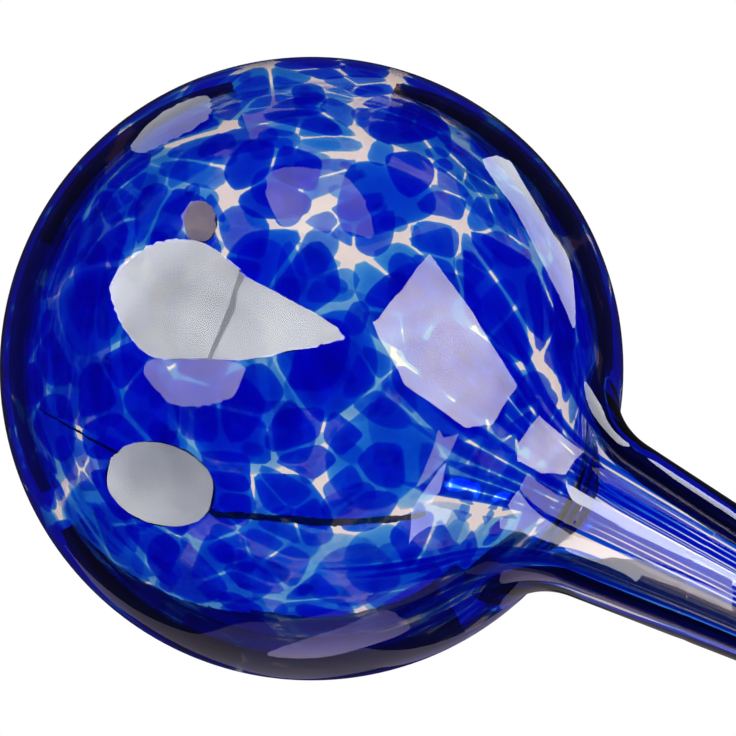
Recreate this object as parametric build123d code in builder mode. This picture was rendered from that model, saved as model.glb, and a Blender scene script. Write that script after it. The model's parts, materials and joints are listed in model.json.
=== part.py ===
from build123d import *
import math
import os
import random

os.makedirs("parts", exist_ok=True)

# Driving dimensions, in millimetres and degrees
globe_diameter = 80.0  # outside of the blown globe
globe_wall = 3.0  # glass of the globe and its neck
neck_length = 21.0  # from the globe's lowest point down to the stem seam
neck_flare_radius = 12.0  # hollow curve where the globe runs into its neck
neck_taper = 6.2  # half angle of the neck's cone
seam_diameter = 17.6  # neck and stem where they are fused together
stem_length = 164.0  # open tip up to the seam
stem_diameter = 12.5  # straight part that is pushed into the soil
stem_bore = 7.5  # water way through the straight part
stem_blend_share = 0.4  # part of the stem's cone that is rounded into the straight part
tip_lip_radius = 1.1  # fire-polished rounding of the open tip

# Blue chips melted flush into the globe
chip_depth = 1.2
chip_count = 120
chip_jitter = 0.38  # how far a chip strays from its even place, in chip widths
chip_random_seed = 11
vein_width = 1.0  # least clear glass between two chips
vein_spread = 0.9  # what the widest veins have more than that
vein_steps = 7  # widths that the veins come in
chip_margin = 1.0  # clear glass between the chips and the neck's flare
bare_patch_every = 19  # each so many chips one is missing and leaves a clear patch
tone_order = ("cobalt_chips", "royal_chips", "cobalt_chips", "royal_chips", "azure_chips")

# Chips drawn out into long streaks over the neck and the stem
streak_depth = 1.2
streak_count = 9
streak_angle_least = 13.0  # what a streak takes up around the axis
streak_angle_spread = 10.0
streak_shift = 12.0  # how far a streak strays from its even place around the axis
streak_start_spread = 0.5  # part of the flare over which the streaks begin
streak_run_least = 14.0  # how far a streak runs down the stem
streak_run_spread = 22.0
angle_wave = 1.7  # steps of the waves that make the streaks uneven
shift_wave = 2.3
start_wave = 4.7
run_wave = 3.1

# Heights and directions of the profile, from the tip upwards
globe_radius = globe_diameter / 2
stem_radius = stem_diameter / 2
bore_radius = stem_bore / 2
globe_height = stem_length + neck_length + globe_radius
taper = math.radians(neck_taper)
cone_up = Vector(math.sin(taper), math.cos(taper))
cone_out = Vector(math.cos(taper), -math.sin(taper))
globe_centre = Vector(0, globe_height)
seam_outer = Vector(seam_diameter / 2, stem_length)
seam_inner = seam_outer - Vector(globe_wall / math.cos(taper), 0)

# The stem's cone ends where it has come down to the straight diameter
cone_end = stem_length - (seam_outer.X - stem_radius) / math.tan(taper)
cone_height = stem_length - cone_end
bore_taper = math.atan2(seam_inner.X - bore_radius, cone_height)


def flare_centre():
    """Centre of the hollow curve that touches both the neck's cone and the globe."""
    start = seam_outer + cone_out * neck_flare_radius - globe_centre
    along = start.dot(cone_up)
    reach = globe_radius + neck_flare_radius
    climb = -along - math.sqrt(along**2 - start.dot(start) + reach**2)
    return globe_centre + start + cone_up * climb


flare = flare_centre()
shoulder = (flare - globe_centre).normalized()


def flare_point(share, depth):
    """Point of the flare, from the globe at share 0 to the cone at share 1, below the surface."""
    towards = (shoulder * (share - 1) - cone_out * share).normalized()
    return flare + towards * (neck_flare_radius + depth)


def arc_about(centre, start, end):
    """Arc of less than half a turn around a centre."""
    middle = (start + end - centre * 2).normalized() * (start - centre).length
    return ThreePointArc(start, centre + middle, end)


def blend_radius(angle):
    """Rounding between a cone of the stem and the straight part below it."""
    return cone_height * stem_blend_share / math.tan(angle / 2)


# Directions of the chips: a golden-angle spiral whose points are nudged aside
golden_angle = math.pi * (3 - math.sqrt(5))
flare_angle = math.atan2(shoulder.X, -shoulder.Y) + chip_margin / globe_radius
covered_height = 1 + math.cos(flare_angle)
chip_spacing = math.sqrt(2 * math.pi * covered_height / chip_count)
chance = random.Random(chip_random_seed)


def chip_direction(index):
    """Unit vector from the globe's centre to one chip."""
    height = 1 - covered_height * (index + 0.5) / chip_count
    ring = math.sqrt(1 - height**2)
    turn = index * golden_angle
    even = Vector(ring * math.cos(turn), ring * math.sin(turn), height)
    nudge = Vector(chance.uniform(-1, 1), chance.uniform(-1, 1), chance.uniform(-1, 1))
    return (even + nudge * chip_jitter * chip_spacing).normalized()


chip_directions = [chip_direction(index) for index in range(chip_count)]


def chip_plane(index):
    """Plane of a chip's flat underside, square to the chip's direction."""
    direction = chip_directions[index]
    underside = Vector(0, 0, globe_height) + direction * (globe_radius - chip_depth)
    return Plane(origin=underside, z_dir=direction)


def half_vein(index, other):
    """Half of the clear width between two chips, as seen from the globe's centre."""
    step = index * other % vein_steps / (vein_steps - 1)
    return (vein_width + vein_spread * step) / 2 / globe_radius


def clipped(outline, across, up, room):
    """Part of a convex outline where across * u + up * v + room is not negative."""
    kept = []
    for index, (u, v) in enumerate(outline):
        last_u, last_v = outline[index - 1]
        here = across * u + up * v + room
        before = across * last_u + up * last_v + room
        if here * before < 0:
            share = before / (before - here)
            kept.append((last_u + (u - last_u) * share, last_v + (v - last_v) * share))
        if here >= 0:
            kept.append((u, v))
    return kept


def chip_outline(index):
    """Corners of one chip: what lies nearer to it than to any other, less the veins."""
    direction = chip_directions[index]
    plane = chip_plane(index)
    reach = 2 * chip_spacing
    outline = [(-reach, -reach), (reach, -reach), (reach, reach), (-reach, reach)]
    for other, neighbour in enumerate(chip_directions):
        apart = direction - neighbour
        if other == index or apart.length > 2 * reach:
            continue
        across = apart.dot(plane.x_dir)
        up = apart.dot(plane.y_dir)
        room = apart.dot(direction) - half_vein(index, other) * math.hypot(across, up)
        outline = clipped(outline, across, up, room)
    level = Vector(direction.X, direction.Y).normalized()
    above_flare = level * math.cos(flare_angle) + Vector(0, 0, math.sin(flare_angle))
    room = above_flare.dot(direction)
    outline = clipped(outline, above_flare.dot(plane.x_dir), above_flare.dot(plane.y_dir), room)
    size = globe_radius - chip_depth
    return [(u * size, v * size) for u, v in outline]


# Tones of blue, dealt out over the chips in turn
laid_chips = [index for index in range(chip_count) if index % bare_patch_every]


def chips_of(tone):
    """Chips that have one tone of blue."""
    return [index for index in laid_chips if tone_order[index % len(tone_order)] == tone]


def uneven(index, step):
    """Uneven number from 0 to 1 for one streak."""
    return (math.sin(index * step) + 1) / 2


def streak_plane(index):
    """Upright plane through the axis where a streak begins."""
    turn = index * math.tau / streak_count + math.radians(streak_shift * uneven(index, shift_wave))
    across = (math.cos(turn), math.sin(turn), 0)
    aside = (math.sin(turn), -math.cos(turn), 0)
    return Plane(origin=(0, 0, 0), x_dir=across, z_dir=aside)


def streak_angle(index):
    """Angle that a streak takes up around the axis."""
    return streak_angle_least + streak_angle_spread * uneven(index, angle_wave)


# Whole glass of the globe with its neck, before any colour
with BuildPart() as globe_blank:
    with BuildSketch(Plane.XZ):
        with BuildLine():
            outside = arc_about(globe_centre, globe_centre + Vector(0, globe_radius), flare_point(0, 0))
            outer_flare = arc_about(flare, outside @ 1, flare_point(1, 0))
            Polyline(outer_flare @ 1, seam_outer, seam_inner, flare_point(1, globe_wall))
            inner_flare = arc_about(flare, flare_point(1, globe_wall), flare_point(0, globe_wall))
            top = globe_centre + Vector(0, globe_radius - globe_wall)
            inside = arc_about(globe_centre, inner_flare @ 1, top)
            Line(inside @ 1, outside @ 0)
        make_face()
    revolve(axis=Axis.Z)

# Whole glass of the stem, before any colour
with BuildPart() as stem_blank:
    with BuildSketch(Plane.XZ) as stem_profile:
        with BuildLine():
            Polyline(
                (bore_radius, 0),
                (stem_radius, 0),
                (stem_radius, cone_end),
                seam_outer,
                seam_inner,
                (bore_radius, cone_end),
                close=True,
            )
        make_face()
        for radius, angle in ((bore_radius, bore_taper), (stem_radius, taper)):
            bend = stem_profile.vertices().sort_by_distance((radius, cone_end))[0]
            fillet(bend, blend_radius(angle))
        fillet(stem_profile.vertices().group_by(Axis.Y)[0], tip_lip_radius)
    revolve(axis=Axis.Z)

# Blue chips of the globe, with flat undersides and tops that follow the globe
globe_colours = []
for tone in sorted(set(tone_order)):
    with BuildPart() as chips:
        for chip in chips_of(tone):
            with BuildSketch(chip_plane(chip)):
                Polygon(*chip_outline(chip), align=None)
        extrude(amount=globe_wall)
        add(globe_blank.part, mode=Mode.INTERSECT)
    chips.part.label = tone
    export_step(chips.part, f"parts/{tone}.step")
    globe_colours.append(chips.part)

# Streaks of the flare and the neck, from staggered beginnings down to the seam
with BuildPart() as neck_streaks:
    for streak in range(streak_count):
        begin = streak_start_spread * uneven(streak, start_wave)
        with BuildSketch(streak_plane(streak)):
            with BuildLine():
                under = arc_about(flare, flare_point(begin, streak_depth), flare_point(1, streak_depth))
                Polyline(
                    under @ 1,
                    seam_outer - Vector(streak_depth / math.cos(taper), 0),
                    seam_outer + Vector(streak_depth, 0),
                    flare_point(begin, -streak_depth),
                    under @ 0,
                )
            make_face()
        revolve(axis=Axis.Z, revolution_arc=streak_angle(streak))
    add(globe_blank.part, mode=Mode.INTERSECT)
neck_streaks.part.label = "neck_streaks"
export_step(neck_streaks.part, "parts/neck_streaks.step")
globe_colours.append(neck_streaks.part)

# Streaks of the stem, from the seam down to staggered ends
with BuildPart() as stem_streaks:
    for streak in range(streak_count):
        run = streak_run_least + streak_run_spread * uneven(streak, run_wave)
        with BuildSketch(streak_plane(streak)):
            with BuildLine():
                Polyline(
                    (stem_radius - streak_depth, 0),
                    (stem_radius - streak_depth, cone_end),
                    seam_outer - Vector(streak_depth / math.cos(taper), 0),
                    seam_outer + Vector(streak_depth, 0),
                    (seam_outer.X + streak_depth, 0),
                    close=True,
                )
            make_face()
            with Locations((0, stem_length - run)):
                Rectangle(seam_diameter, stem_length, align=(Align.MIN, Align.MAX), mode=Mode.SUBTRACT)
        revolve(axis=Axis.Z, revolution_arc=streak_angle(streak))
    add(stem_blank.part, mode=Mode.INTERSECT)
stem_streaks.part.label = "stem_streaks"
export_step(stem_streaks.part, "parts/stem_streaks.step")

# Clear globe with its neck, with a pocket for each chip and streak
with BuildPart() as globe_bubble:
    add(globe_blank.part)
    for colour in globe_colours:
        add(colour, mode=Mode.SUBTRACT)
globe_bubble.part.label = "globe_bubble"
export_step(globe_bubble.part, "parts/globe_bubble.step")

# Clear stem tube, with a groove for each streak
with BuildPart() as stem_tube:
    add(stem_blank.part)
    add(stem_streaks.part, mode=Mode.SUBTRACT)
stem_tube.part.label = "stem_tube"
export_step(stem_tube.part, "parts/stem_tube.step")
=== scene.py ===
import bisect
import json
import math
import random

import bpy
from mathutils import Matrix, Vector, noise


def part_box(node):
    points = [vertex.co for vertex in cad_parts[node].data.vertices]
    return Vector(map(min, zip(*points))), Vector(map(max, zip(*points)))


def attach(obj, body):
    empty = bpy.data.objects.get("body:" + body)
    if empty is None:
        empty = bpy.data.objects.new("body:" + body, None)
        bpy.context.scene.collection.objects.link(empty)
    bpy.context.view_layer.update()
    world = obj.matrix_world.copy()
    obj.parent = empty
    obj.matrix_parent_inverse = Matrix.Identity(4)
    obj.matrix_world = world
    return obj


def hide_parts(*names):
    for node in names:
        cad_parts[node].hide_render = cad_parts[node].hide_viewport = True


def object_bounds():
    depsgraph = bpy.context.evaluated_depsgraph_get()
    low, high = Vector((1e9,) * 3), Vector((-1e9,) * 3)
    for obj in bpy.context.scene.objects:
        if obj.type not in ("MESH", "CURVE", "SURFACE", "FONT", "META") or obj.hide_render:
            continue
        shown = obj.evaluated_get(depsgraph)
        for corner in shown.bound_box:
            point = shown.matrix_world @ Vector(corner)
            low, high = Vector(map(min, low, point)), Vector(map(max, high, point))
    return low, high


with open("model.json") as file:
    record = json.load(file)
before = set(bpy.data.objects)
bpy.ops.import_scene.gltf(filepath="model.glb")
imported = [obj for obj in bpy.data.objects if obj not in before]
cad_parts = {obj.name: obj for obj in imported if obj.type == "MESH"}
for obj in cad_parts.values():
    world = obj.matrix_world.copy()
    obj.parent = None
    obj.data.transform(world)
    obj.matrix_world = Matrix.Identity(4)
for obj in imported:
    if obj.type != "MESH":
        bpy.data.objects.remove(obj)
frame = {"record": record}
cad_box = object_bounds()

# Sizes of the glass, in metres and radians, as far as the frame doesn't give them
GLASS_WALL = 0.003
FLARE_RADIUS = 0.012  # hollow curve from the globe into its neck
NECK_TAPER = math.radians(6.2)
SEAM_RADIUS = 0.0088  # outside of neck and stem where they are fused
BEND_SHARE = 0.4  # part of the stem's cone that is rounded into the straight part
LIP_RADIUS = 0.0011
SEAM_GROOVE_DEPTH = 0.00006
SEAM_GROOVE_HALF = 0.0007

# Sizes that the frame gives
MILLIMETRE = 0.001
MOUNTS = {mount["name"]: mount for mount in frame["record"]["mounts"]}
STEM_RADIUS = MOUNTS["stem"]["dims"]["r_mm"] * MILLIMETRE
BORE_RADIUS = MOUNTS["mouth"]["dims"]["r_mm"] * MILLIMETRE
SEAM_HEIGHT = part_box("stem_tube")[1].z
GLOBE_RADIUS = (cad_box[1].x - cad_box[0].x) / 2
GLOBE_CENTRE = Vector((0, 0, cad_box[1].z - GLOBE_RADIUS))

# Mesh fineness
TURN_STEPS = 240
BALL_STEPS = 100
FLARE_STEPS = 20
CONE_STEPS = 20
BEND_STEPS = 14
SHAFT_STEPS = 12
LIP_STEPS = 6

# Unevenness of hand-blown glass
OUTER_WAVE = 0.00003
INNER_WAVE = 0.00012
WAVE_PITCH = 0.02

# Blue chips, in the same cells as in the solid model, each broken into a few flakes
CHIP_COUNT = 120
CHIP_JITTER = 0.38
CHIP_SEED = 11
CHIP_MARGIN = 0.001
NEIGHBOUR_REACH = 4.0  # spacings within which chips border on each other
BARE_PATCH_EVERY = 19
BARE_FLAKES = 4  # small flakes that lie apart in a bare patch
BARE_FLAKE_SHARE = 0.62
TONE_ORDER = ("cobalt", "royal", "cobalt", "royal", "azure")
VEIN_LEAST = 0.0001
VEIN_SPREAD = 0.0015
VEIN_STEPS = 7
FLAKE_COUNTS = (1, 2, 3, 3, 4)
FLAKE_VEIN = 0.00005
FLAKE_REACH = (0.4, 0.6)  # from the middle of the cell to that of a flake, as shares of the cell
FLAKE_SWING = 0.35  # how far a flake strays around the middle of its cell
DRAWN_ANGLE = math.radians(62)  # within this angle of the neck the flakes lie along it
CHIP_ROUNDING = 6.0  # power that rounds a flake's corners, lower is rounder
CHIP_UNEVEN = 0.14
UNEVEN_STEP = (3.7, 1.3)  # how far apart the patterns of two uneven outlines lie
CHIP_DEPTH = 0.0009  # middle of a flake below the surface
CHIP_HALF = 0.0006
CHIP_HALF_SHARE = 0.2  # half thickness of a small flake, as a share of its radius
RADIUS_PROBES = 6  # turns, a radian apart, at which a flake's least radius is sought
CHIP_EDGE = 0.45  # power of a flake's edge, lower is blunter
CHIP_TURN_STEPS = 32
CHIP_RING_STEPS = 12

# Small chips that lie deeper, across the veins and under the large ones
CRUMB_COUNT = 170
CRUMB_SEED = 5
CRUMB_RADIUS_LEAST = 0.0009
CRUMB_RADIUS_SPREAD = 0.0034
CRUMB_LONGER = 0.7
CRUMB_ROOM = 2  # room kept free around a crumb, in its radii
CRUMB_DEPTH = 0.0019
CRUMB_HALF = 0.00035

# Thin light blue flakes at the bottom of the wall, which fill the veins except in the pale spots
WASH_TONE = "azure"
WASH_COUNT = 70
WASH_SEED = 21
WASH_BARE_EVERY = 9
WASH_DEPTH = 0.0026
WASH_HALF = 0.00025
WASH_VEIN_SHARE = 0.4  # veins between these flakes, as a share of those between the chips
PALE_SPOTS = (Vector((0.68, -0.72, -0.1)).normalized(), Vector((0.68, 0.55, 0.49)).normalized())
PALE_ANGLE = math.radians(36)
PALE_WIDENING = 1.5  # how much wider the veins are in the middle of a pale spot
LOOSE_MARGIN = math.radians(25)  # crumbs and bubbles keep this far from the flare

# Streaks over the neck and the stem, in the same places as in the solid model
STREAK_COUNT = 9
STREAK_ANGLE_LEAST = math.radians(13.0)
STREAK_ANGLE_SPREAD = math.radians(10.0)
STREAK_SHIFT = math.radians(12.0)
STREAK_RUN_LEAST = 0.014
STREAK_RUN_SPREAD = 0.022
ANGLE_WAVE = 1.7
SHIFT_WAVE = 2.3
RUN_WAVE = 3.1

# Each streak is a few ribbons side by side, with finer ones between the streaks
RIBBONS_IN_STREAK = 3
RIBBONS_BETWEEN = 2
RIBBON_SEED = 3
RIBBON_FULL = (0.9, 1.0)  # width of a ribbon, as shares of its place
RIBBON_FULL_BETWEEN = (0.7, 1.0)
RIBBON_START_LEAST = -0.020  # before the flare, up on the globe
RIBBON_START_SPREAD = 0.012
RIBBON_RUN_LEAST = 0.6  # a ribbon's run down the stem, as a share of the streak's
RIBBON_DEPTH = 0.0010
RIBBON_DEEP = 0.0021  # on the globe, under the chips
RIBBON_DIVE = (0.003, -0.001)  # from the flare to the globe, where the ribbons go deeper
RIBBON_HALF = 0.00055
RIBBON_POINT_SHARE = 0.3  # part of a ribbon over which it draws out to a point
RIBBON_THINNING = 0.25  # how much of its width a ribbon loses on the way to the seam
RIBBON_JOG = math.radians(0.4)  # how far the stem's ribbons are turned against the neck's
RIBBON_STEPS = 40
RIBBON_SIDES = 14
SEAM_GAP = 0.00004

# Seed bubbles left in the glass, of which, as of the crumbs, more are small than large
SMALL_POWER = 2
BUBBLE_COUNT = 60
BUBBLE_SEED = 8
BUBBLE_RADIUS_LEAST = 0.00008
BUBBLE_RADIUS_SPREAD = 0.00012
BUBBLE_DEPTH = 0.0025
BUBBLE_TURN_STEPS = 12
BUBBLE_RING_STEPS = 6

# What each glass lets through, as shares of red, green and blue over a depth in metres
CLEAR_PASS = (0.935, 0.87, 0.85)
CHIP_PASS_DEPTH = 0.0012
CHIP_PASS = {"cobalt": (0.0008, 0.03, 0.86), "royal": (0.002, 0.08, 0.91), "azure": (0.012, 0.20, 0.94)}
STREAK_PASS = (0.001, 0.045, 0.86)
GLASS_IOR = 1.5

# The photograph's view: the stem points towards the camera and below level in the picture
PICTURE_SIDE = 736
GLOBE_PIXEL = (312.0, 368.6)
GLOBE_PIXEL_RADIUS = 312.0
STEM_TOWARDS = math.radians(25.0)
STEM_BELOW_LEVEL = math.radians(26.95)
CAMERA_DISTANCE = 0.45
SENSOR_WIDTH = 36.0  # millimetres
CLIP_NEAR = 0.01

# Looks of the glass: sizes and dim colours of its cloudy patches, its shadow and a faint ripple
WHITE = (1, 1, 1)
BLACK = (0, 0, 0)
CLOUD_DETAIL = 4
CLOUD_RAMP = (0.35, 0.65)  # heights at which a cloudy colour is all dark and all light
CLEAR_CLOUD = 0.006
CLEAR_DIM = (0.96, 0.95, 0.95)
CLEAR_SHADOW = (0.93, 0.92, 0.92)
RIPPLE_STRENGTH = 0.01
RIPPLE_DEPTH = 0.001
CHIP_CLOUD = 0.003
CHIP_DIM = (0.80, 0.86, 0.95)

# How often light may turn in the glass, be mirrored and cross the skins of chips
GLASS_BOUNCES = 24
MIRROR_BOUNCES = 12
SKIN_BOUNCES = 96

# Floor, overhead lamp and dark room, in metres
FLOOR_SIDE = 6.0
FLOOR_DROP = 0.0002
FLOOR_CLOUD = 0.3
FLOOR_DIM = (0.86, 0.86, 0.86)
FLOOR_PALE = (0.9, 0.9, 0.9)
ROOM_LIGHT = 0.8  # plain light from all sides
LAMP_POWER = 7.0
LAMP_SIDE = 1.2
LAMP_HEIGHT = 1.6
TENT_RADIUS = 3.5
TENT_COLOUR = (0.8, 0.75, 1.0)
TENT_LIGHT = 0.02
TENT_RINGS = 16
TENT_TURNS = 32

# Cards and flags: distances from the glass, widths of flags and fineness
CARD_REACH = 0.16
FAR_CARD_REACH = 0.22
RIM_CARD_REACH = 0.15
NEAR_CARD_REACH = 0.10
NECK_CARD_REACH = 0.018
SHADE_REACH = 0.10  # from the globe to the shades behind it
BACKDROP_REACH = 0.35  # from the globe to the flags that are seen through it
FLAG_WIDTH = 0.5
WIDE_FLAG_WIDTH = 1.6
SLIM_FLAG_WIDTH = 0.16
FLAG_STEPS = 24
CARD_STEPS = 8
OVAL_STEPS = 32
SIGHT_STEPS = 300
SIGHT_HALVINGS = 16
SLOPE_STEP = 0.0002

# Colours of the cards, and how cloudy they are
WHITE_LAMP = (0.94, 0.96, 1.0)
CREAM = (1.0, 0.93, 0.60)  # looks lavender over the blue glass
MAUVE = (0.80, 0.66, 1.0)
ROSE = (1.0, 0.80, 0.88)
BENCH_COLOUR = (0.90, 0.80, 0.94)
LEFT_SHADE_COLOUR = (0.22, 0.20, 0.80)
CARD_CLOUD = 0.12  # size of the patches on a card
LAMP_UNEVEN = 0.45
BAND_UNEVEN = 0.3

# Outlines in the photograph, in pixels: reflections in the glass, and a dim patch behind it
ROUND_LAMP = [
    (110, 287), (124, 263), (148, 246), (176, 239), (206, 244), (234, 264), (243, 275), (241, 283),
    (228, 317), (212, 352), (209, 359), (199, 359), (170, 360), (145, 353), (121, 324),
]
CONE_LAMP = [
    (243, 275), (281, 295), (315, 313), (338, 328), (345, 339), (315, 347), (242, 361), (209, 359),
    (228, 317),
]
LAMP_RIM = [(241, 272), (245, 275), (230, 318), (211, 360), (207, 359), (226, 316)]
UPPER_LAMP = [
    (131, 146), (150, 122), (178, 104), (207, 96), (210, 115), (196, 127), (165, 143), (142, 153),
]
WINDOW = [
    (430, 254), (472, 312), (517, 385), (494, 424), (466, 428), (405, 385), (372, 322), (402, 292),
]
STRIP_LAMP = [
    (484, 161), (507, 159), (524, 184), (549, 227), (571, 266), (575, 328), (562, 302), (541, 260),
    (516, 211), (498, 186),
]
BENCH = [
    (64, 545), (104, 592), (150, 622), (200, 634), (252, 622), (312, 640), (385, 612), (440, 588),
    (486, 562), (516, 572), (534, 588), (500, 612), (430, 652), (380, 668), (312, 679), (250, 672),
    (180, 645), (110, 600),
]
BENCH_GLOW = [
    (267, 655), (300, 641), (345, 626), (382, 610), (402, 618), (408, 630), (372, 645), (318, 658),
]
UPPER_PATCH = [(268, 174), (330, 170), (362, 196), (372, 236), (340, 230), (284, 228)]
LEFT_PATCH = [(146, 361), (238, 363), (237, 392), (208, 405), (168, 402)]
LEFT_SHADE = [
    (46, 300), (70, 235), (112, 196), (128, 230), (106, 300), (112, 400), (104, 440), (58, 415),
]

# Ovals there, each with its middle and half sizes in pixels and its tilt in radians
LOWER_LAMP = ((160, 484), (56, 40), 0.35)
SMALL_LAMP = ((199, 221), (17, 21), 0)
LEFT_GLINT = ((86, 393), (13, 6), 0)
RIGHT_GLINT = ((458, 486), (15, 7), 0)

# Stations of long bands there, each with its pixel and its width
NECK_EDGE = [
    (500, 523, 11), (522, 526, 13), (568, 541, 15), (624, 561, 15), (679, 581, 15), (740, 607, 16),
]
NECK_SHEEN = [(562, 509, 26), (580, 517, 25), (624, 539, 20), (679, 563, 16), (740, 590, 15)]
EDGE_LINE = [
    (40, 410, 2), (110, 450, 3), (215, 514, 6), (330, 522, 8), (395, 519, 7), (430, 514, 3),
]


# Profile of the glass, as points of radius and height
def flat(radius, height):
    """Point of the profile."""
    return Vector((radius, height))


CONE_UP = flat(math.sin(NECK_TAPER), math.cos(NECK_TAPER))
CONE_OUT = flat(math.cos(NECK_TAPER), -math.sin(NECK_TAPER))
BALL = flat(0, GLOBE_CENTRE.z)
SEAM_OUTER = flat(SEAM_RADIUS, SEAM_HEIGHT)
SEAM_INNER = SEAM_OUTER - flat(GLASS_WALL / math.cos(NECK_TAPER), 0)
CONE_END = SEAM_HEIGHT - (SEAM_RADIUS - STEM_RADIUS) / math.tan(NECK_TAPER)


def flare_centre():
    """Centre of the hollow curve that touches the neck's cone and the globe."""
    start = SEAM_OUTER + CONE_OUT * FLARE_RADIUS - BALL
    along = start.dot(CONE_UP)
    reach = GLOBE_RADIUS + FLARE_RADIUS
    climb = -along - math.sqrt(along**2 - start.dot(start) + reach**2)
    return BALL + start + CONE_UP * climb


FLARE = flare_centre()
SHOULDER = (FLARE - BALL).normalized()
SHOULDER_ANGLE = math.atan2(SHOULDER.x, -SHOULDER.y)


def run(start, end, steps):
    """Points of a straight stretch, without its first."""
    return [start.lerp(end, step / steps) for step in range(1, steps + 1)]


def bend(start, corner, end, steps):
    """Points of a soft bend in place of a corner, without its first."""
    points = []
    for step in range(1, steps + 1):
        share = step / steps
        points.append(start.lerp(corner, share).lerp(corner.lerp(end, share), share))
    return points


def ball_points(radius):
    """The globe's half circle from its top down to the flare."""
    points = []
    for step in range(BALL_STEPS + 1):
        angle = (math.pi - SHOULDER_ANGLE) * step / BALL_STEPS
        points.append(BALL + flat(math.sin(angle), math.cos(angle)) * radius)
    return points


def flare_points(depth):
    """The hollow curve from the globe to the cone, without its first point."""
    points = []
    for step in range(1, FLARE_STEPS + 1):
        share = step / FLARE_STEPS
        towards = (SHOULDER * (share - 1) - CONE_OUT * share).normalized()
        points.append(FLARE + towards * (FLARE_RADIUS + depth))
    return points


def stem_points(top, radius):
    """The stem from the seam through its soft bend to just above the lip."""
    corner = flat(radius, CONE_END)
    upper = corner.lerp(top, BEND_SHARE)
    lower = corner - flat(0, (SEAM_HEIGHT - CONE_END) * BEND_SHARE)
    points = run(top, upper, CONE_STEPS) + bend(upper, corner, lower, BEND_STEPS)
    return points + run(lower, flat(radius, LIP_RADIUS), SHAFT_STEPS)


def side_points(depth, seam, radius):
    """One side of the glass from the globe's top to just above the lip."""
    points = ball_points(GLOBE_RADIUS - depth) + flare_points(depth)
    return points + run(points[-1], seam, CONE_STEPS) + stem_points(seam, radius)


def lip_points():
    """The fire-polished tip from outside to inside, without its ends."""
    points = []
    quarters = ((STEM_RADIUS - LIP_RADIUS, 0.0), (BORE_RADIUS + LIP_RADIUS, math.pi / 2))
    for centre, first in quarters:
        for step in range(LIP_STEPS):
            angle = first + math.pi / 2 * (step + 0.5) / LIP_STEPS
            radius = centre + LIP_RADIUS * math.cos(angle)
            points.append(flat(radius, LIP_RADIUS * (1 - math.sin(angle))))
    return points


def normals(points):
    """Directions away from the axis along a profile that runs downwards."""
    found = []
    for index in range(len(points)):
        after = points[min(index + 1, len(points) - 1)]
        before = points[max(index - 1, 0)]
        along = (after - before).normalized()
        found.append(flat(-along.y, along.x))
    return found


def turned(point, turn):
    """Point of the profile, turned about the axis."""
    return Vector((point.x * math.cos(turn), point.x * math.sin(turn), point.y))


def turns_of(count):
    """Turns that divide a full circle."""
    return [math.tau * step / count for step in range(count)]


OUTER_SIDE = side_points(0, SEAM_OUTER, STEM_RADIUS)
OUTER_NORMALS = normals(OUTER_SIDE)
INNER_SIDE = side_points(GLASS_WALL, SEAM_INNER, BORE_RADIUS)
INNER_NORMALS = normals(INNER_SIDE)
TURNS = turns_of(TURN_STEPS)


# Meshes
def add_rings(points, faces, tip, rings, end, hollow=False):
    """Adds a closed skin of rings between two tips, which faces inwards where it is hollow."""
    first = len(points)
    count = len(rings[0])
    points.append(tip)
    for ring in rings:
        points.extend(ring)
    points.append(end)
    last = len(points) - 1
    added = []
    for step in range(count):
        after = (step + 1) % count
        added.append((first, first + 1 + step, first + 1 + after))
        for row in range(len(rings) - 1):
            here = first + 1 + row * count
            there = here + count
            added.append((here + step, there + step, there + after, here + after))
        added.append((last - count + step, last, last - count + after))
    if hollow:
        added = [tuple(reversed(face)) for face in added]
    faces.extend(added)


def add_piece(name, points, faces, material, nodes):
    """Makes a smooth piece that stands for some nodes of the frame."""
    mesh = bpy.data.meshes.new(name)
    mesh.from_pydata(points, [], faces)
    mesh.polygons.foreach_set("use_smooth", [True] * len(mesh.polygons))
    mesh.materials.append(material)
    piece = bpy.data.objects.new(name, mesh)
    bpy.context.scene.collection.objects.link(piece)
    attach(piece, "root")
    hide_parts(*nodes)


# The glass body: globe, neck and stem, fused into one
def wave(point, height):
    """Unevenness of a blown surface, from 0 to a height."""
    return height * (1 + noise.noise(point / WAVE_PITCH)) / 2


def seam_groove(height):
    """Depth of the shallow ring where the neck and the stem were fused."""
    apart = (height - SEAM_HEIGHT) / SEAM_GROOVE_HALF
    return SEAM_GROOVE_DEPTH * math.exp(-apart * apart)


def uneven_ring(point, normal, height, groove=0.0):
    """Ring of the glass, shifted towards the axis where it is uneven or has a groove."""
    ring = []
    for turn in TURNS:
        shift = wave(turned(point, turn), height) + groove
        ring.append(turned(point - normal * shift, turn))
    return ring


def glass_body(material):
    """The whole blown glass with its seed bubbles."""
    points = []
    faces = []
    rings = []
    for point, normal in zip(OUTER_SIDE[1:], OUTER_NORMALS[1:]):
        rings.append(uneven_ring(point, normal, OUTER_WAVE, seam_groove(point.y)))
    rings += [[turned(point, turn) for turn in TURNS] for point in lip_points()]
    inner = [uneven_ring(*pair, INNER_WAVE) for pair in zip(INNER_SIDE[1:], INNER_NORMALS[1:])]
    rings += reversed(inner)
    add_rings(points, faces, turned(OUTER_SIDE[0], 0), rings, turned(INNER_SIDE[0], 0))
    chance = random.Random(BUBBLE_SEED)
    for _ in range(BUBBLE_COUNT):
        add_bubble(points, faces, chance)
    add_piece("blown_glass", points, faces, material, ("globe_bubble", "stem_tube"))


def direction_at(height, turn):
    """Direction from the globe's centre at a height, in globe radii, and a turn."""
    ring = math.sqrt(1 - height * height)
    return Vector((ring * math.cos(turn), ring * math.sin(turn), height))


def random_direction(chance, lowest):
    """Direction from the globe's centre that is no lower than a height."""
    height = chance.uniform(lowest, 1)
    return direction_at(height, chance.uniform(0, math.tau))


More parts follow.
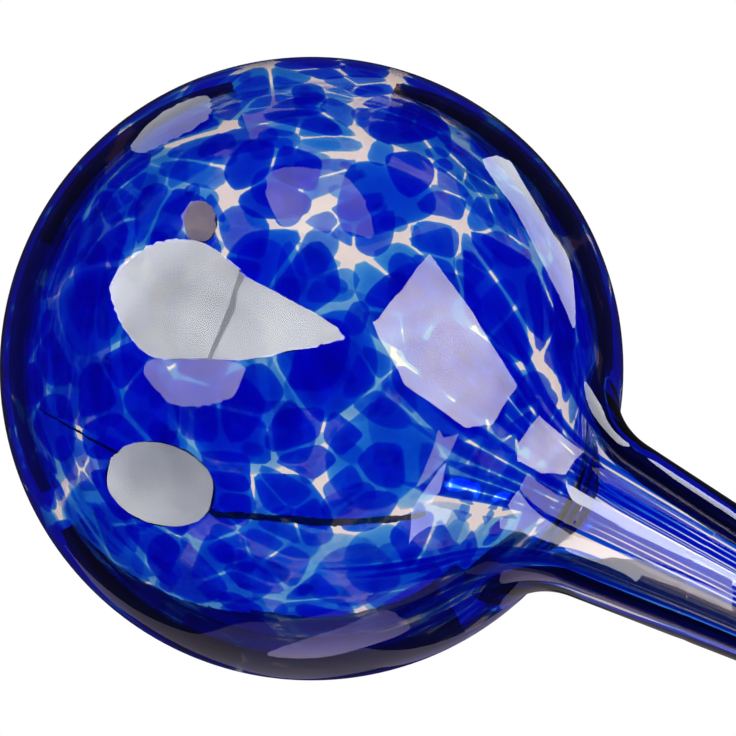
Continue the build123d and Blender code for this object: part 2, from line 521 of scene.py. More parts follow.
def add_bubble(points, faces, chance):
    """A small round hollow in the globe's wall."""
    direction = random_direction(chance, LOOSE_LOWEST)
    radius = BUBBLE_RADIUS_LEAST + BUBBLE_RADIUS_SPREAD * chance.random() ** SMALL_POWER
    centre = GLOBE_CENTRE + direction * (GLOBE_RADIUS - BUBBLE_DEPTH)
    across, up = tangents(direction)
    rings = []
    for row in range(1, BUBBLE_RING_STEPS):
        tilt = math.pi * row / BUBBLE_RING_STEPS
        ring = []
        for turn in turns_of(BUBBLE_TURN_STEPS):
            sideways = (across * math.cos(turn) + up * math.sin(turn)) * math.sin(tilt)
            ring.append(centre + (sideways + direction * math.cos(tilt)) * radius)
        rings.append(ring)
    add_rings(points, faces, centre + direction * radius, rings, centre - direction * radius, hollow=True)


# Blue chips: flakes of coloured glass inside the globe's wall
def tangents(direction):
    """Two directions square to one direction and to each other."""
    across = direction.orthogonal().normalized()
    return across, direction.cross(across)


GOLDEN_ANGLE = math.pi * (3 - math.sqrt(5))
CHIP_LOWEST_ANGLE = SHOULDER_ANGLE + CHIP_MARGIN / GLOBE_RADIUS
COVERED_HEIGHT = 1 + math.cos(CHIP_LOWEST_ANGLE)


def spacing(count):
    """Distance between chips that are spread evenly, in globe radii."""
    return math.sqrt(2 * math.pi * COVERED_HEIGHT / count)


def chip_directions(count, seed):
    """Directions of chips: a golden-angle spiral whose points are nudged aside."""
    chance = random.Random(seed)
    found = []
    for index in range(count):
        height = 1 - COVERED_HEIGHT * (index + 0.5) / count
        even = direction_at(height, index * GOLDEN_ANGLE)
        nudge = Vector((chance.uniform(-1, 1), chance.uniform(-1, 1), chance.uniform(-1, 1)))
        found.append((even + nudge * CHIP_JITTER * spacing(count)).normalized())
    return found


CHIPS = chip_directions(CHIP_COUNT, CHIP_SEED)
WASH = chip_directions(WASH_COUNT, WASH_SEED)


def paleness(direction):
    """How near a direction is to the middle of a pale spot, from 0 to 1."""
    nearest = min(direction.angle(spot) for spot in PALE_SPOTS)
    return max(0.0, 1 - nearest / PALE_ANGLE)


def chip_borders(chips, index, vein_share=1.0):
    """Borders of a chip's cell, each as the way in from a neighbour and half the vein between."""
    borders = []
    widening = vein_share * (1 + PALE_WIDENING * paleness(chips[index]))
    for other, neighbour in enumerate(chips):
        inwards = chips[index] - neighbour
        if other == index or inwards.length > NEIGHBOUR_REACH * spacing(len(chips)):
            continue
        step = index * other % VEIN_STEPS / (VEIN_STEPS - 1)
        vein = (VEIN_LEAST + VEIN_SPREAD * step) * widening
        borders.append((inwards, vein / 2 / GLOBE_RADIUS))
    level = Vector((chips[index].x, chips[index].y, 0)).normalized()
    above = level * math.cos(CHIP_LOWEST_ANGLE) + Vector((0, 0, math.sin(CHIP_LOWEST_ANGLE)))
    borders.append((above, 0.0))
    return borders


def cell_sides(direction, borders):
    """Borders as seen from a direction, each as a slope across, a slope up and the room up to it."""
    across, up = tangents(direction)
    sides = []
    for inwards, vein in borders:
        slope = (inwards.dot(across), inwards.dot(up))
        sides.append((*slope, inwards.dot(direction) - vein * math.hypot(*slope)))
    return sides


def cell_radius(sides, turn):
    """Distance from a cell's middle to its rounded edge, in globe radii."""
    total = 0.0
    for slope_across, slope_up, room in sides:
        nearness = -(slope_across * math.cos(turn) + slope_up * math.sin(turn)) / room
        total += max(0.0, nearness) ** CHIP_ROUNDING
    return total ** (-1 / CHIP_ROUNDING)


def aside(direction, turn, reach):
    """Direction at a reach from another one, towards a turn about it."""
    across, up = tangents(direction)
    return (direction + (across * math.cos(turn) + up * math.sin(turn)) * reach).normalized()


def flakes_around(direction, sides, count, chance):
    """Directions of flakes that lie around the middle of a cell."""
    first = chance.uniform(0, math.tau)
    found = []
    for flake in range(count):
        turn = first + math.tau * flake / count + chance.uniform(-FLAKE_SWING, FLAKE_SWING)
        reach = cell_radius(sides, turn) * chance.uniform(*FLAKE_REACH)
        found.append(aside(direction, turn, reach))
    return found


def flakes_along(direction, sides, count):
    """Directions of flakes that lie side by side, each along the way to the neck."""
    across, up = tangents(direction)
    east = Vector((0, 0, 1)).cross(direction)
    turn = math.atan2(east.dot(up), east.dot(across))
    east_reach = cell_radius(sides, turn)
    whole = east_reach + cell_radius(sides, turn + math.pi)
    return [aside(direction, turn, east_reach - whole * (flake + 0.5) / count) for flake in range(count)]


def chip_flakes(index):
    """Directions of the flakes into which one chip broke."""
    chance = random.Random(index)
    direction = CHIPS[index]
    sides = cell_sides(direction, chip_borders(CHIPS, index))
    count = chance.choice(FLAKE_COUNTS) if index % BARE_PATCH_EVERY else BARE_FLAKES
    if count == 1:
        return [direction]
    if direction.z < -math.cos(DRAWN_ANGLE):
        return flakes_along(direction, sides, count)
    return flakes_around(direction, sides, count, chance)


def shrink(seed, turn, amount):
    """Factor up to 1 that makes an outline irregular."""
    place = (math.cos(turn) + seed * UNEVEN_STEP[0], math.sin(turn), seed * UNEVEN_STEP[1])
    return 1 - amount * (1 + noise.noise(place)) / 2


def add_lens(points, faces, direction, reach_of, depth, half):
    """A lens of glass under the globe's surface, whose edge lies at a reach for each turn."""
    turns = turns_of(CHIP_TURN_STEPS)
    reaches = [reach_of(turn) for turn in turns]
    rings = []
    for row in range(1, CHIP_RING_STEPS):
        tilt = math.pi * row / CHIP_RING_STEPS
        rise = math.copysign(abs(math.cos(tilt)) ** CHIP_EDGE, math.cos(tilt)) * half
        ring = []
        for turn, reach in zip(turns, reaches):
            towards = aside(direction, turn, reach * math.sin(tilt))
            ring.append(GLOBE_CENTRE + towards * (GLOBE_RADIUS - depth + rise))
        rings.append(ring)
    middle = GLOBE_CENTRE + direction * (GLOBE_RADIUS - depth)
    add_rings(points, faces, middle + direction * half, rings, middle - direction * half)


def add_chip(points, faces, index):
    """One chip: the flakes that fill its cell."""
    flakes = chip_flakes(index)
    share = 1 if index % BARE_PATCH_EVERY else BARE_FLAKE_SHARE
    for flake in flakes:
        borders = chip_borders(CHIPS, index)
        for other in flakes:
            if other != flake:
                borders.append((flake - other, FLAKE_VEIN / 2 / GLOBE_RADIUS))
        sides = cell_sides(flake, borders)

        def reach_of(turn):
            return share * cell_radius(sides, turn) * shrink(index, turn, CHIP_UNEVEN)

        least = min(cell_radius(sides, step) for step in range(RADIUS_PROBES)) * share * GLOBE_RADIUS
        add_lens(points, faces, flake, reach_of, CHIP_DEPTH, min(CHIP_HALF, least * CHIP_HALF_SHARE))


LOOSE_LOWEST = -math.cos(SHOULDER_ANGLE + LOOSE_MARGIN)


def crumb_places():
    """Directions and radii of the small chips, which keep clear of each other."""
    chance = random.Random(CRUMB_SEED)
    found = []
    while len(found) < CRUMB_COUNT:
        direction = random_direction(chance, LOOSE_LOWEST)
        radius = CRUMB_RADIUS_LEAST + CRUMB_RADIUS_SPREAD * chance.random() ** SMALL_POWER
        room = (1 + CRUMB_LONGER) * radius
        clear = (
            (direction - other).length * GLOBE_RADIUS > room + CRUMB_ROOM * size
            for other, size in found
        )
        if all(clear):
            found.append((direction, radius))
    return found


def add_crumb(points, faces, index, direction, radius):
    """One small chip."""

    def reach_of(turn):
        longer = 1 + CRUMB_LONGER * math.cos(turn - index) ** 2
        return radius / GLOBE_RADIUS * longer * shrink(index + CHIP_COUNT, turn, CHIP_UNEVEN)

    add_lens(points, faces, direction, reach_of, CRUMB_DEPTH, min(CRUMB_HALF, radius * CHIP_HALF_SHARE))


def add_wash(points, faces):
    """The thin flakes that fill the veins."""
    for index, direction in enumerate(WASH):
        if paleness(direction) or direction.z < LOOSE_LOWEST or index % WASH_BARE_EVERY == 0:
            continue
        sides = cell_sides(direction, chip_borders(WASH, index, WASH_VEIN_SHARE))

        def reach_of(turn):
            return cell_radius(sides, turn) * shrink(index + WASH_SEED, turn, CHIP_UNEVEN)

        add_lens(points, faces, direction, reach_of, WASH_DEPTH, WASH_HALF)


def chips_of(tone, material):
    """All chips of one tone."""
    points = []
    faces = []
    for index in range(CHIP_COUNT):
        if TONE_ORDER[index % len(TONE_ORDER)] == tone:
            add_chip(points, faces, index)
    for index, (direction, radius) in enumerate(crumb_places()):
        if TONE_ORDER[index % len(TONE_ORDER)] == tone:
            add_crumb(points, faces, index, direction, radius)
    if tone == WASH_TONE:
        add_wash(points, faces)
    add_piece(f"{tone}_flakes", points, faces, material, (f"{tone}_chips",))


# Drawn-out chips: ribbons inside the wall of the neck and the stem
def distances():
    """How far each point of the outside lies below the shoulder."""
    found = [0.0]
    for before, after in zip(OUTER_SIDE, OUTER_SIDE[1:]):
        found.append(found[-1] + (after - before).length)
    return [distance - found[BALL_STEPS] for distance in found]


BELOW_SHOULDER = distances()
SEAM_DISTANCE = BELOW_SHOULDER[BALL_STEPS + FLARE_STEPS + CONE_STEPS]


def under_skin(distance, rise, turn):
    """Point in the wall at a distance below the shoulder, a rise from the ribbons' middle and a turn."""
    index = bisect.bisect_left(BELOW_SHOULDER, distance)
    before = BELOW_SHOULDER[index - 1]
    share = (distance - before) / (BELOW_SHOULDER[index] - before)
    point = OUTER_SIDE[index - 1].lerp(OUTER_SIDE[index], share)
    normal = OUTER_NORMALS[index - 1].lerp(OUTER_NORMALS[index], share).normalized()
    dive = (distance - RIBBON_DIVE[0]) / (RIBBON_DIVE[1] - RIBBON_DIVE[0])
    depth = RIBBON_DEPTH + (RIBBON_DEEP - RIBBON_DEPTH) * max(0.0, min(1.0, dive))
    return turned(point + normal * (rise - depth), turn)


def add_ribbon(points, faces, turn, half_angle, start, end, pointed_start):
    """A lens-shaped ribbon along the glass, drawn out to a point at one end and blunt at the other."""
    first = 1 if pointed_start else 0
    rings = []
    for step in range(first, RIBBON_STEPS + first):
        share = step / RIBBON_STEPS
        to_point = share if pointed_start else 1 - share
        fullness = math.sin(math.pi / 2 * min(1.0, to_point / RIBBON_POINT_SHARE))
        distance = start + (end - start) * share
        drawn = max(0.0, min(1.0, distance / SEAM_DISTANCE))
        reach = half_angle * fullness * (1 - RIBBON_THINNING * drawn)
        ring = []
        for around in turns_of(RIBBON_SIDES):
            rise = math.sin(around) * RIBBON_HALF * fullness
            ring.append(under_skin(distance, rise, turn - math.cos(around) * reach))
        rings.append(ring)
    add_rings(points, faces, under_skin(start, 0, turn), rings, under_skin(end, 0, turn))


def swing(index, step):
    """Uneven number from 0 to 1 for one streak."""
    return (math.sin(index * step) + 1) / 2


def side_by_side(begin, angle, count, full):
    """Turns, room and shares of width for ribbons that divide an angle."""
    place = angle / count
    return [(begin + place * (ribbon + 0.5), place, full) for ribbon in range(count)]


def ribbon_plan():
    """Turn, half angle, start and run of each ribbon."""
    chance = random.Random(RIBBON_SEED)
    plan = []
    for streak in range(STREAK_COUNT):
        begin = streak * math.tau / STREAK_COUNT + STREAK_SHIFT * swing(streak, SHIFT_WAVE)
        angle = STREAK_ANGLE_LEAST + STREAK_ANGLE_SPREAD * swing(streak, ANGLE_WAVE)
        streak_run = STREAK_RUN_LEAST + STREAK_RUN_SPREAD * swing(streak, RUN_WAVE)
        room = math.tau / STREAK_COUNT - STREAK_SHIFT - angle
        places = side_by_side(begin, angle, RIBBONS_IN_STREAK, RIBBON_FULL)
        places += side_by_side(begin + angle, room, RIBBONS_BETWEEN, RIBBON_FULL_BETWEEN)
        for turn, place, full in places:
            start = RIBBON_START_LEAST + RIBBON_START_SPREAD * chance.random()
            length = streak_run * chance.uniform(RIBBON_RUN_LEAST, 1)
            plan.append((turn, place / 2 * chance.uniform(*full), start, length))
    return plan


def neck_ribbons(material):
    """Ribbons from the globe's foot down to the seam."""
    points = []
    faces = []
    for turn, half_angle, start, _ in ribbon_plan():
        add_ribbon(points, faces, turn, half_angle, start, SEAM_DISTANCE - SEAM_GAP, True)
    add_piece("neck_ribbons", points, faces, material, ("neck_streaks",))


def stem_ribbons(material):
    """Ribbons from the seam down the stem, a little out of line with the neck's."""
    points = []
    faces = []
    for turn, half_angle, _, length in ribbon_plan():
        begin = SEAM_DISTANCE + SEAM_GAP
        add_ribbon(points, faces, turn + RIBBON_JOG, half_angle, begin, begin + length, False)
    add_piece("stem_ribbons", points, faces, material, ("stem_streaks",))


# Materials
def new_material(name):
    """Empty node material with its output."""
    material = bpy.data.materials.new(name)
    material.use_nodes = True
    nodes = material.node_tree.nodes
    nodes.clear()
    return material, nodes, material.node_tree.links, nodes.new("ShaderNodeOutputMaterial")


def absorb(nodes, links, output, passed, depth):
    """Makes the inside of a material take up light, so that a share is passed over a depth."""
    loss = [-math.log(share) / depth for share in passed]
    volume = nodes.new("ShaderNodeVolumeAbsorption")
    volume.inputs["Density"].default_value = max(loss)
    volume.inputs["Color"].default_value = (*[1 - part / max(loss) for part in loss], 1)
    links.new(volume.outputs[0], output.inputs["Volume"])


def cloud_height(nodes, links, pitch):
    """Soft cloudy height from 0 to 1."""
    place = nodes.new("ShaderNodeTexCoord")
    clouds = nodes.new("ShaderNodeTexNoise")
    clouds.inputs["Scale"].default_value = 1 / pitch
    clouds.inputs["Detail"].default_value = CLOUD_DETAIL
    links.new(place.outputs["Object"], clouds.inputs["Vector"])
    return clouds.outputs["Fac"]


def cloud_colour(nodes, links, height, dark, light):
    """Colour from dark to light by a cloudy height."""
    ramp = nodes.new("ShaderNodeValToRGB")
    for element, position, colour in zip(ramp.color_ramp.elements, CLOUD_RAMP, (dark, light)):
        element.position = position
        element.color = (*colour, 1)
    links.new(height, ramp.inputs["Fac"])
    return ramp.outputs["Color"]


def clear_glass():
    """Thick clear glass with a warm cast and a faint ripple."""
    material, nodes, links, output = new_material("clear_glass")
    glass = nodes.new("ShaderNodeBsdfPrincipled")
    glass.inputs["Transmission Weight"].default_value = 1
    glass.inputs["IOR"].default_value = GLASS_IOR
    glass.inputs["Roughness"].default_value = 0
    height = cloud_height(nodes, links, CLEAR_CLOUD)
    links.new(cloud_colour(nodes, links, height, CLEAR_DIM, WHITE), glass.inputs["Base Color"])
    ripple = nodes.new("ShaderNodeBump")
    ripple.inputs["Strength"].default_value = RIPPLE_STRENGTH
    ripple.inputs["Distance"].default_value = RIPPLE_DEPTH
    links.new(height, ripple.inputs["Height"])
    links.new(ripple.outputs["Normal"], glass.inputs["Normal"])
    shade = nodes.new("ShaderNodeBsdfTransparent")
    shade.inputs["Color"].default_value = (*CLEAR_SHADOW, 1)
    path = nodes.new("ShaderNodeLightPath")
    mix = nodes.new("ShaderNodeMixShader")
    links.new(path.outputs["Is Shadow Ray"], mix.inputs["Fac"])
    links.new(glass.outputs[0], mix.inputs[1])
    links.new(shade.outputs[0], mix.inputs[2])
    links.new(mix.outputs[0], output.inputs["Surface"])
    absorb(nodes, links, output, CLEAR_PASS, GLASS_WALL)
    return material


def blue_glass(name, passed):
    """Blue glass that is melted into the clear glass, so its skin neither bends nor mirrors light."""
    material, nodes, links, output = new_material(name)
    skin = nodes.new("ShaderNodeBsdfTransparent")
    height = cloud_height(nodes, links, CHIP_CLOUD)
    links.new(cloud_colour(nodes, links, height, CHIP_DIM, WHITE), skin.inputs["Color"])
    links.new(skin.outputs[0], output.inputs["Surface"])
    absorb(nodes, links, output, passed, CHIP_PASS_DEPTH)
    return material


# Camera, at the photograph's angle
def camera_axes():
    """Right, up and back of the camera."""
    back = Vector((0, -math.cos(STEM_TOWARDS), -math.sin(STEM_TOWARDS)))
    along = (Vector((0, 0, -1)) - back * math.sin(STEM_TOWARDS)).normalized()
    across = back.cross(along)
    right = along * math.cos(STEM_BELOW_LEVEL) + across * math.sin(STEM_BELOW_LEVEL)
    up = across * math.cos(STEM_BELOW_LEVEL) - along * math.sin(STEM_BELOW_LEVEL)
    return right, up, back


RIGHT, UP, BACK = camera_axes()
GLOBE_HALF_ANGLE = math.asin(GLOBE_RADIUS / CAMERA_DISTANCE)
FOCAL_PIXELS = GLOBE_PIXEL_RADIUS / math.tan(GLOBE_HALF_ANGLE)
ASIDE = (PICTURE_SIDE / 2 - GLOBE_PIXEL[0]) / FOCAL_PIXELS * CAMERA_DISTANCE
BELOW = (GLOBE_PIXEL[1] - PICTURE_SIDE / 2) / FOCAL_PIXELS * CAMERA_DISTANCE
CAMERA_PLACE = GLOBE_CENTRE + BACK * CAMERA_DISTANCE + RIGHT * ASIDE + UP * BELOW


def make_camera():
    """Camera that sees the globe where the photograph has it."""
    data = bpy.data.cameras.new("camera")
    data.sensor_width = SENSOR_WIDTH
    data.lens = FOCAL_PIXELS / PICTURE_SIDE * SENSOR_WIDTH
    data.clip_start = CLIP_NEAR
    camera = bpy.data.objects.new("camera", data)
    turn = Matrix((RIGHT, UP, BACK)).transposed().to_4x4()
    camera.matrix_world = Matrix.Translation(CAMERA_PLACE) @ turn
    bpy.context.scene.collection.objects.link(camera)
    bpy.context.scene.camera = camera


# Studio: places that the camera sees in the glass or through it
INNER_RADIUS = GLOBE_RADIUS - GLASS_WALL
SIGHT_NEAR = CAMERA_DISTANCE - 2 * GLOBE_RADIUS
SIGHT_FAR = CAMERA_DISTANCE + GLOBE_RADIUS
HEIGHTS = [point.y for point in reversed(OUTER_SIDE)]
RADII = [point.x for point in reversed(OUTER_SIDE)]


def sight(pixel):
    """Direction in which the camera sees a pixel."""
    right = (pixel[0] - PICTURE_SIDE / 2) / FOCAL_PIXELS
    up = (PICTURE_SIDE / 2 - pixel[1]) / FOCAL_PIXELS
    return (RIGHT * right + UP * up - BACK).normalized()


def skin_radius(height):
    """Radius of the outside at a height."""
    index = min(max(bisect.bisect_left(HEIGHTS, height), 1), len(HEIGHTS) - 1)
    share = (height - HEIGHTS[index - 1]) / (HEIGHTS[index] - HEIGHTS[index - 1])
    return RADII[index - 1] + (RADII[index] - RADII[index - 1]) * share


def gap(point):
    """How far a point is from the axis beyond the outside."""
    return math.hypot(point.x, point.y) - skin_radius(point.z)


def seen_point(ray):
    """First point of the glass along a ray from the camera, or the nearest that it passes."""
    stride = (SIGHT_FAR - SIGHT_NEAR) / SIGHT_STEPS
    trail = [CAMERA_PLACE + ray * (SIGHT_NEAR + stride * step) for step in range(SIGHT_STEPS)]
    inside = next((point for point in trail if gap(point) < 0), None)
    if inside is None:
        return min(trail, key=gap)
    before = inside - ray * stride
    for _ in range(SIGHT_HALVINGS):
        middle = (before + inside) / 2
        if gap(middle) < 0:
            inside = middle
        else:
            before = middle
    return inside


def mirrored(pixel, reach):
    """Place that the glass mirrors at a pixel."""
    ray = sight(pixel)
    point = seen_point(ray)
    slope = (skin_radius(point.z + SLOPE_STEP) - skin_radius(point.z - SLOPE_STEP)) / (2 * SLOPE_STEP)
    outwards = Vector((point.x, point.y, 0)).normalized()
    normal = (outwards - Vector((0, 0, slope))).normalized()
    return point + ray.reflect(normal) * reach


def entry_turn(share):
    """Angle by which a ray turns where it enters glass, at a share of the radius off the middle."""
    return math.asin(share) - math.asin(share / GLASS_IOR)


def behind(pixel, reach):
    """Place that is seen through the globe at a pixel."""
    ray = sight(pixel)
    start = CAMERA_PLACE - GLOBE_CENTRE
    offset = start - ray * start.dot(ray)
    outward = offset.normalized()
    turn = 2 * (entry_turn(offset.length / INNER_RADIUS) - entry_turn(offset.length / GLOBE_RADIUS))
    leaving = (outward * math.cos(turn) - ray * math.sin(turn)) * offset.length
    return GLOBE_CENTRE + leaving + (ray * math.cos(turn) + outward * math.sin(turn)) * reach


# Studio: outlines in the picture
def oval(centre, half, tilt):
    """Outline of an oval."""
    outline = []
    for turn in turns_of(OVAL_STEPS):
        across = half[0] * math.cos(turn)
        down = half[1] * math.sin(turn)
        x = centre[0] + across * math.cos(tilt) - down * math.sin(tilt)
        y = centre[1] + across * math.sin(tilt) + down * math.cos(tilt)
        outline.append((x, y))
    return outline


def between(points, steps):
    """Points along straight runs."""
    found = []
    for before, after in zip(points, points[1:]):
        for step in range(steps):
            share = step / steps
            found.append(tuple(a + (b - a) * share for a, b in zip(before, after)))
    return found


def rounded(corners):
    """Outline that runs smoothly through its corners, as a Catmull-Rom curve."""
    outline = []
    count = len(corners)
    for index, corner in enumerate(corners):
        before, after, beyond = (corners[(index + step) % count] for step in (-1, 1, 2))
        for step in range(CARD_STEPS):
            share = step / CARD_STEPS
            weights = (
                -share * (1 - share) ** 2 / 2,
                1 - share * share * (5 - 3 * share) / 2,
                share * (1 + share * (4 - 3 * share)) / 2,
                share * share * (share - 1) / 2,
            )
            four = zip(before, corner, after, beyond)
            outline.append(tuple(sum(w * part for w, part in zip(weights, parts)) for parts in four))
    return outline


def polygon(corners):
    """Outline with straight sides."""
    return between(corners + corners[:1], CARD_STEPS)


# Studio: lamps, cards and flags
def emitter(name, colour, strength=1.0, uneven=0.0):
    """Light of one colour, with cloudy patches that are dimmer by a share."""
    material, nodes, links, output = new_material(name)
    light = nodes.new("ShaderNodeEmission")
    light.inputs["Color"].default_value = (*colour, 1)
    light.inputs["Strength"].default_value = strength
    if uneven:
        dim = [part * (1 - uneven) for part in colour]
        height = cloud_height(nodes, links, CARD_CLOUD)
        links.new(cloud_colour(nodes, links, height, dim, colour), light.inputs["Color"])
    links.new(light.outputs[0], output.inputs["Surface"])
    return material


def add_stage(name, points, faces, material):
    """Mesh that belongs to the studio."""
    mesh = bpy.data.meshes.new(name)
    mesh.from_pydata(points, [], faces)
    mesh.materials.append(material)
    piece = bpy.data.objects.new(name, mesh)
    bpy.context.scene.collection.objects.link(piece)
    return piece


def show_only(piece, in_mirror):
    """Shows a studio card only where the glass mirrors it, or else only through the glass."""
    piece.visible_camera = False
    piece.visible_diffuse = False
    piece.visible_shadow = False
    piece.visible_volume_scatter = False
    piece.visible_glossy = in_mirror
    piece.visible_transmission = not in_mirror


def add_card(name, outline, place_of, reach, material):
    """Card that fans out from the middle of its outline in the picture."""
    middle = tuple(sum(part) / len(outline) for part in zip(*outline))
    points = [place_of(pixel, reach) for pixel in [middle] + outline]
    count = len(outline)
    faces = [(0, 1 + step, 1 + (step + 1) % count) for step in range(count)]
    return add_stage(name, points, faces, material)


def strip_faces(count):
    """Faces of a strip whose points come in pairs, one on each side."""
    return [(2 * step, 2 * step + 1, 2 * step + 3, 2 * step + 2) for step in range(count)]


def add_band(name, corners, place_of, reach, material):
    """Long card along stations in the picture, each a pixel and a width."""
    stations = between(corners, CARD_STEPS)
    points = []
    for x, y, width in stations:
        points += [place_of((x, y + side * width / 2), reach) for side in (-1, 1)]
    return add_stage(name, points, strip_faces(len(stations) - 1), material)


def mirrored_band(name, corners, colour, strength):
    """Band whose reflection in the neck runs along stations in the picture."""
    material = emitter(name, colour, strength, BAND_UNEVEN)
    show_only(add_band(name, corners, mirrored, NECK_CARD_REACH, material), True)


def mirrored_card(name, outline, colour, strength, uneven, reach):
    """Card whose reflection in the glass has an outline in the picture."""
    material = emitter(name, colour, strength, uneven)
    show_only(add_card(name, outline, mirrored, reach, material), True)


def seen_card(name, outline, colour, strength=1.0):
    """Card behind the globe that is seen through it at an outline in the picture."""
    material = emitter(name, colour, strength)
    show_only(add_card(name, outline, behind, SHADE_REACH, material), False)


def lamp_card(name, outline, colour, strength):
    """Lamp that the globe mirrors, with a shade behind the globe so that the mirror image is full."""
    mirrored_card(name, outline, colour, strength, LAMP_UNEVEN, CARD_REACH)
    seen_card(f"{name}_shade", outline, BLACK)


def make_flag(name, first, last, colour, flag_width):
    """Part of a ring behind the globe that darkens its rim, between angles with rim widths in pixels."""
    points = []
    for angle, width in between([first, last], FLAG_STEPS) + [last]:
        turn = math.radians(angle)
        radius = GLOBE_PIXEL_RADIUS - width
        x = GLOBE_PIXEL[0] + radius * math.cos(turn)
        y = GLOBE_PIXEL[1] - radius * math.sin(turn)
        inner = behind((x, y), BACKDROP_REACH)
        points += [inner, inner + (RIGHT * math.cos(turn) + UP * math.sin(turn)) * flag_width]
    show_only(add_stage(name, points, strip_faces(FLAG_STEPS), emitter(name, colour)), False)


def make_edge_line():
    """Dark edge of the bench behind the globe."""
    material = emitter("bench_edge", BLACK)
    show_only(add_band("bench_edge", EDGE_LINE, behind, SHADE_REACH, material), False)


# Lamps that the globe mirrors: name, outline, colour and strength
LAMPS = (
    ("round_lamp", rounded(ROUND_LAMP), WHITE_LAMP, 17.0),
    ("cone_lamp", polygon(CONE_LAMP), WHITE_LAMP, 16.0),
    ("lower_lamp", oval(*LOWER_LAMP), WHITE_LAMP, 10.0),
    ("small_lamp", oval(*SMALL_LAMP), ROSE, 5.0),
)

# Other cards that the glass mirrors: name, outline, colour, strength, unevenness and reach
CARDS = (
    ("lamp_rim", polygon(LAMP_RIM), WHITE_LAMP, 6.5, 0.1, RIM_CARD_REACH),
    ("upper_lamp", rounded(UPPER_LAMP), WHITE_LAMP, 2.1, 0.35, CARD_REACH),
    ("window", polygon(WINDOW), CREAM, 12.0, 0.55, CARD_REACH),
    ("strip_lamp", rounded(STRIP_LAMP), WHITE_LAMP, 6.5, 0.35, CARD_REACH),
    ("bench_glow", rounded(BENCH_GLOW), MAUVE, 1.8, 0.6, NEAR_CARD_REACH),
    ("upper_patch", rounded(UPPER_PATCH), CREAM, 3.6, 0.7, CARD_REACH),
    ("left_patch", rounded(LEFT_PATCH), CREAM, 6.0, 0.5, CARD_REACH),
    ("bench", rounded(BENCH), BENCH_COLOUR, 0.26, 0.3, FAR_CARD_REACH),
)

# Bands that the neck mirrors: name, stations, colour and strength
BANDS = (
    ("neck_edge", NECK_EDGE, WHITE_LAMP, 8.0),
    ("neck_sheen", NECK_SHEEN, CREAM, 5.0),
)

# Flags behind the rim: name, angle and rim width at both ends, colour and width
FLAGS = (
    ("right_flag", (-3, 26), (35, 40), (0.02, 0.012, 0.05), FLAG_WIDTH),
    ("top_flag", (35, 40), (74, 25), (0.015, 0.008, 0.03), WIDE_FLAG_WIDTH),
    ("upper_left_flag", (105, 25), (155, 32), (0.02, 0.01, 0.04), WIDE_FLAG_WIDTH),
    ("left_flag", (155, 32), (205, 25), (0.19, 0.15, 0.20), FLAG_WIDTH),
    ("lower_left_flag", (213, 25), (256, 60), (0.012, 0.008, 0.03), FLAG_WIDTH),
    ("lower_flag", (256, 64), (301, 66), (0.05, 0.04, 0.065), FLAG_WIDTH),
    ("lower_right_flag", (301, 66), (310, 70), (0.20, 0.17, 0.22), SLIM_FLAG_WIDTH),
)

# Dim card and bright spots behind the globe: name, outline, colour and strength
SEEN_CARDS = (
    ("left_shade", polygon(LEFT_SHADE), LEFT_SHADE_COLOUR, 1.0),
    ("glint_0", oval(*LEFT_GLINT), WHITE_LAMP, 2.5),
    ("glint_1", oval(*RIGHT_GLINT), WHITE_LAMP, 2.5),
)


# Studio: room, floor and overhead lamp
def make_world():
    """White surroundings for the eye and in the glass, and a plain room light."""
    world = bpy.data.worlds.new("studio")
    bpy.context.scene.world = world
    world.use_nodes = True
    nodes = world.node_tree.nodes
    links = world.node_tree.links
    nodes.clear()
    output = nodes.new("ShaderNodeOutputWorld")
    seen = nodes.new("ShaderNodeBackground")
    seen.inputs["Color"].default_value = (*WHITE, 1)
    room = nodes.new("ShaderNodeBackground")
    room.inputs["Color"].default_value = (*WHITE, 1)
    room.inputs["Strength"].default_value = ROOM_LIGHT
    path = nodes.new("ShaderNodeLightPath")
    total = path.outputs["Is Camera Ray"]
    for name in ("Is Glossy Ray", "Is Transmission Ray"):
        add = nodes.new("ShaderNodeMath")
        add.operation = "ADD"
        add.use_clamp = True
        links.new(total, add.inputs[0])
        links.new(path.outputs[name], add.inputs[1])
        total = add.outputs[0]
    mix = nodes.new("ShaderNodeMixShader")
    links.new(total, mix.inputs["Fac"])
    links.new(room.outputs[0], mix.inputs[1])
    links.new(seen.outputs[0], mix.inputs[2])
    links.new(mix.outputs[0], output.inputs["Surface"])


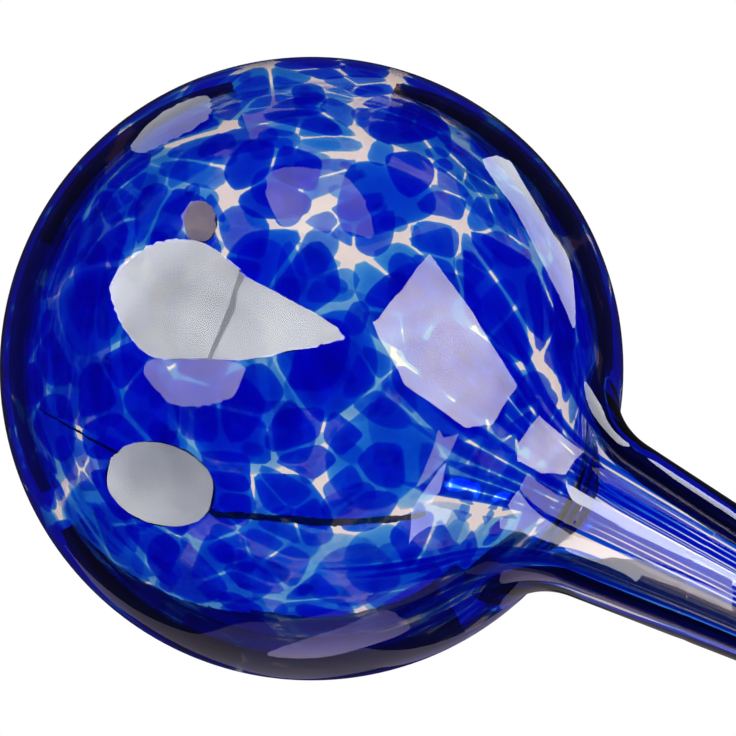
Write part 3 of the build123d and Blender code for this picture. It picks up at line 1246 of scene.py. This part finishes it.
def make_floor():
    """Pale floor under the stem's tip, which the glass doesn't mirror."""
    half = FLOOR_SIDE / 2
    corners = [(x * half, y * half, -FLOOR_DROP) for x, y in ((-1, -1), (1, -1), (1, 1), (-1, 1))]
    material, nodes, links, output = new_material("floor")
    matte = nodes.new("ShaderNodeBsdfDiffuse")
    height = cloud_height(nodes, links, FLOOR_CLOUD)
    links.new(cloud_colour(nodes, links, height, FLOOR_DIM, FLOOR_PALE), matte.inputs["Color"])
    links.new(matte.outputs[0], output.inputs["Surface"])
    floor = add_stage("floor", corners, [(0, 1, 2, 3)], material)
    floor.visible_glossy = False


def make_lamp():
    """Soft lamp overhead."""
    data = bpy.data.lights.new("overhead", "AREA")
    data.energy = LAMP_POWER
    data.size = LAMP_SIDE
    lamp = bpy.data.objects.new("overhead", data)
    lamp.location = (0, 0, LAMP_HEIGHT)
    lamp.visible_glossy = False
    lamp.visible_transmission = False
    bpy.context.scene.collection.objects.link(lamp)


def make_tent():
    """Dark room around the studio, seen only in reflections."""
    top = Vector((0, 0, TENT_RADIUS))
    rings = []
    for row in range(1, TENT_RINGS):
        tilt = math.pi * row / TENT_RINGS
        ring_point = flat(math.sin(tilt), math.cos(tilt)) * TENT_RADIUS
        rings.append([turned(ring_point, turn) for turn in turns_of(TENT_TURNS)])
    points = []
    faces = []
    add_rings(points, faces, top, rings, -top, hollow=True)
    tent = add_stage("dark_room", points, faces, emitter("dark_room", TENT_COLOUR, TENT_LIGHT))
    show_only(tent, True)


def make_stage():
    """Everything around the object."""
    make_world()
    make_floor()
    make_lamp()
    make_tent()
    for lamp in LAMPS:
        lamp_card(*lamp)
    for card in CARDS:
        mirrored_card(*card)
    for band in BANDS:
        mirrored_band(*band)
    for flag in FLAGS:
        make_flag(*flag)
    make_edge_line()
    for card in SEEN_CARDS:
        seen_card(*card)


def set_render():
    """Lets light pass through all the layers of glass."""
    scene = bpy.context.scene
    scene.view_settings.view_transform = "Standard"
    scene.cycles.max_bounces = GLASS_BOUNCES
    scene.cycles.transmission_bounces = GLASS_BOUNCES
    scene.cycles.glossy_bounces = MIRROR_BOUNCES
    scene.cycles.transparent_max_bounces = SKIN_BOUNCES


glass_body(clear_glass())
for tone, passed in CHIP_PASS.items():
    chips_of(tone, blue_glass(f"{tone}_glass", passed))
streak_glass = blue_glass("streak_glass", STREAK_PASS)
neck_ribbons(streak_glass)
stem_ribbons(streak_glass)
make_camera()
make_stage()
set_render()
